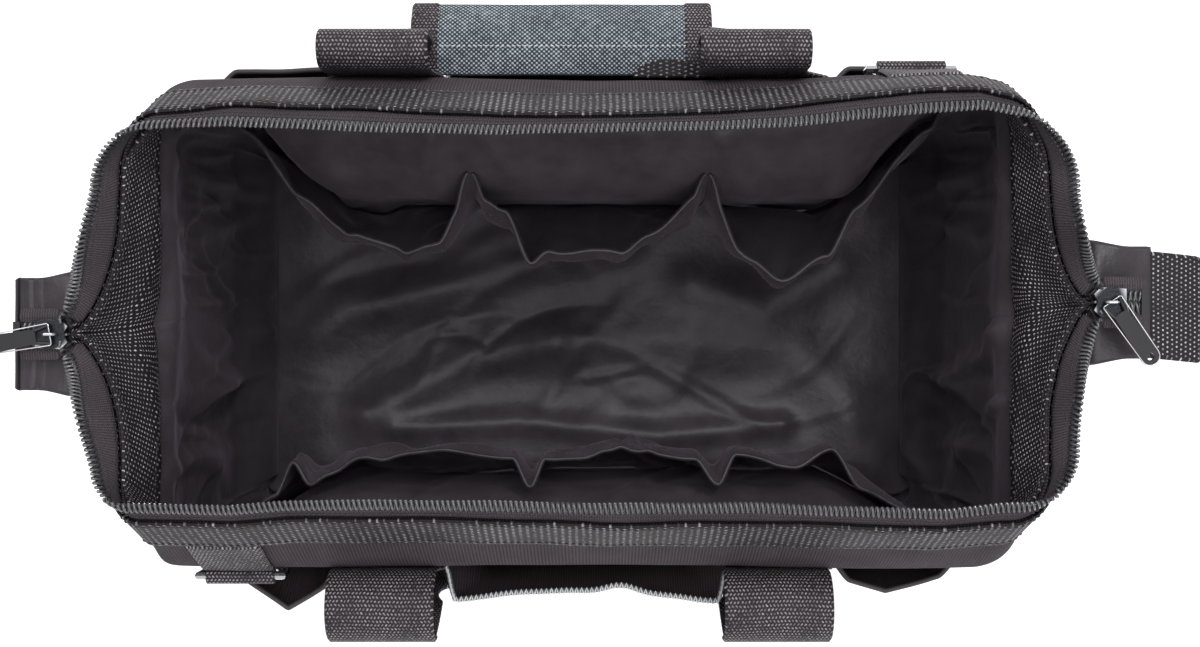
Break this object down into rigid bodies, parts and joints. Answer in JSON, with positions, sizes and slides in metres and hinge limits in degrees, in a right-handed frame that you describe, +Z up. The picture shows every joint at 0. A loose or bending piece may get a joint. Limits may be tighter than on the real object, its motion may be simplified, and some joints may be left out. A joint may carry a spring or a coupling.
{
  "type": "zippered tool bag",
  "caption": "Soft wide-mouth tool bag with a zipped mouth, webbing handles with a wrapped grip, outer and inner pockets, rings and end tabs.",
  "frame": {"origin": "on the ground under the middle of the base", "axes": "+X along the bag towards its right end, +Y from front to back, +Z up"},
  "size_m": [0.5453, 0.3049, 0.2465],
  "materials": {
    "shell_fabric": "matte woven",
    "pocket_fabric": "matte woven",
    "lining_satin": "satin",
    "webbing": "ribbed matte",
    "zip_tape": "matte woven",
    "ballistic_weave": "coarse basket weave",
    "coil_plastic": "glossy",
    "black_metal": "satin",
    "nickel": "polished",
    "fibreboard": "matte"
  },
  "bodies": {
    "bag": {"base_panel": "shell_fabric", "base_board": "fibreboard", "floor_lining": "lining_satin", "base_piping": "webbing", "end_wall_left": "shell_fabric", "end_wall_right": "shell_fabric", "end_lining_left": "lining_satin", "end_lining_right": "lining_satin", "tab_base_left": "lining_satin", "tab_base_right": "lining_satin", "zip_stop_left": "black_metal", "zip_stop_right": "black_metal"},
    "front_wall": {"front_wall": "shell_fabric", "front_lining": "lining_satin", "front_inner_pocket": "lining_satin", "front_centre_pocket": "pocket_fabric", "front_side_pocket_left": "pocket_fabric", "front_side_pocket_right": "pocket_fabric", "front_strap_left": "webbing", "front_strap_right": "webbing", "front_ring_tab": "webbing", "front_rim_webbing": "webbing", "front_inner_webbing": "webbing", "front_zip_tape": "zip_tape", "front_zip_coil": "coil_plastic", "front_arch_left": "webbing", "front_arch_right": "webbing"},
    "back_wall": {"back_wall": "shell_fabric", "back_lining": "lining_satin", "back_inner_pocket_left": "lining_satin", "back_inner_pocket_middle": "lining_satin", "back_inner_pocket_right": "lining_satin", "back_centre_pocket": "pocket_fabric", "back_side_pocket_left": "pocket_fabric", "back_side_pocket_right": "pocket_fabric", "back_strap_left": "webbing", "back_strap_right": "webbing", "back_ring_tab": "webbing", "back_rim_webbing": "webbing", "back_inner_webbing": "webbing", "back_zip_tape": "zip_tape", "back_zip_coil": "coil_plastic", "back_arch_left": "webbing", "back_arch_right": "webbing"},
    "front_handle": {"front_handle": "webbing"},
    "back_handle": {"back_handle": "webbing", "grip_wrap": "ballistic_weave"},
    "wrap_flap": {"wrap_flap": "ballistic_weave"},
    "front_ring": {"front_ring": "nickel"},
    "back_ring": {"back_ring": "nickel"},
    "slider_left": {"slider_left": "black_metal"},
    "slider_right": {"slider_right": "black_metal"},
    "pull_left": {"pull_left": "black_metal"},
    "pull_right": {"pull_right": "black_metal"},
    "end_tab_left": {"end_tab_left": "webbing"},
    "end_tab_right": {"end_tab_right": "webbing"}
  },
  "joints": [
    {"name": "front_wall_lean", "type": "hinge", "parent": "bag", "child": "front_wall", "pos_m": [0, -0.1085, 0.0078], "axis": [-1, 0, 0], "range_deg": [0, 19.2], "deforming": ["front_rim_webbing", "front_inner_webbing", "front_zip_tape", "front_zip_coil"]},
    {"name": "back_wall_lean", "type": "hinge", "parent": "bag", "child": "back_wall", "pos_m": [0, 0.1085, 0.0078], "axis": [1, 0, 0], "range_deg": [0, 19.2], "deforming": ["back_rim_webbing", "back_inner_webbing", "back_zip_tape", "back_zip_coil"]},
    {"name": "slider_left_slide", "type": "slide", "parent": "bag", "child": "slider_left", "axis": [0.9995, 0.0314, -0.0049], "range_m": [0, 0.2232]},
    {"name": "slider_right_slide", "type": "slide", "parent": "bag", "child": "slider_right", "axis": [-0.9995, -0.0319, -0.005], "range_m": [0, 0.2192]},
    {"name": "pull_left_turn", "type": "hinge", "parent": "slider_left", "child": "pull_left", "pos_m": [-0.2325, -0.007, 0.2244], "axis": [-0.1736, 0.9848, 0], "range_deg": [0, 120]},
    {"name": "pull_right_turn", "type": "hinge", "parent": "slider_right", "child": "pull_right", "pos_m": [0.2285, 0.007, 0.2244], "axis": [-0.8192, -0.5736, 0], "range_deg": [0, 150]},
    {"name": "front_handle_swing", "type": "hinge", "parent": "front_wall", "child": "front_handle", "pos_m": [0, -0.1328, 0.178], "axis": [-1, 0, 0], "range_deg": [0, 205], "deforming": ["front_arch_left", "front_arch_right"]},
    {"name": "back_handle_swing", "type": "hinge", "parent": "back_wall", "child": "back_handle", "pos_m": [0, 0.1208, 0.202], "axis": [1, 0, 0], "range_deg": [0, 150], "deforming": ["back_arch_left", "back_arch_right"]},
    {"name": "wrap_flap_turn", "type": "hinge", "parent": "back_handle", "child": "wrap_flap", "pos_m": [0, 0.1274, 0.1643], "axis": [-1, 0, 0], "range_deg": [0, 160]},
    {"name": "front_ring_swing", "type": "hinge", "parent": "front_wall", "child": "front_ring", "pos_m": [-0.1595, -0.1186, 0.181], "axis": [-1, 0, 0], "range_deg": [0, 165]},
    {"name": "back_ring_swing", "type": "hinge", "parent": "back_wall", "child": "back_ring", "pos_m": [0.15, 0.1151, 0.181], "axis": [1, 0, 0], "range_deg": [0, 165]},
    {"name": "end_tab_left_bend", "type": "hinge", "parent": "bag", "child": "end_tab_left", "pos_m": [-0.2519, -0.007, 0.209], "axis": [0, 1, 0], "range_deg": [0, 120]},
    {"name": "end_tab_right_bend", "type": "hinge", "parent": "bag", "child": "end_tab_right", "pos_m": [0.2519, 0.007, 0.209], "axis": [0, 1, 0], "range_deg": [-85, 85], "stiffness_Nm_per_rad": 0.05}
  ],
  "couplings": [
    {"joint": "back_wall_lean", "follows": "front_wall_lean", "ratio": 1},
    {"joint": "slider_left_slide", "follows": "front_wall_lean", "m_per_rad": 0.6658},
    {"joint": "slider_right_slide", "follows": "front_wall_lean", "m_per_rad": 0.6539}
  ]
}
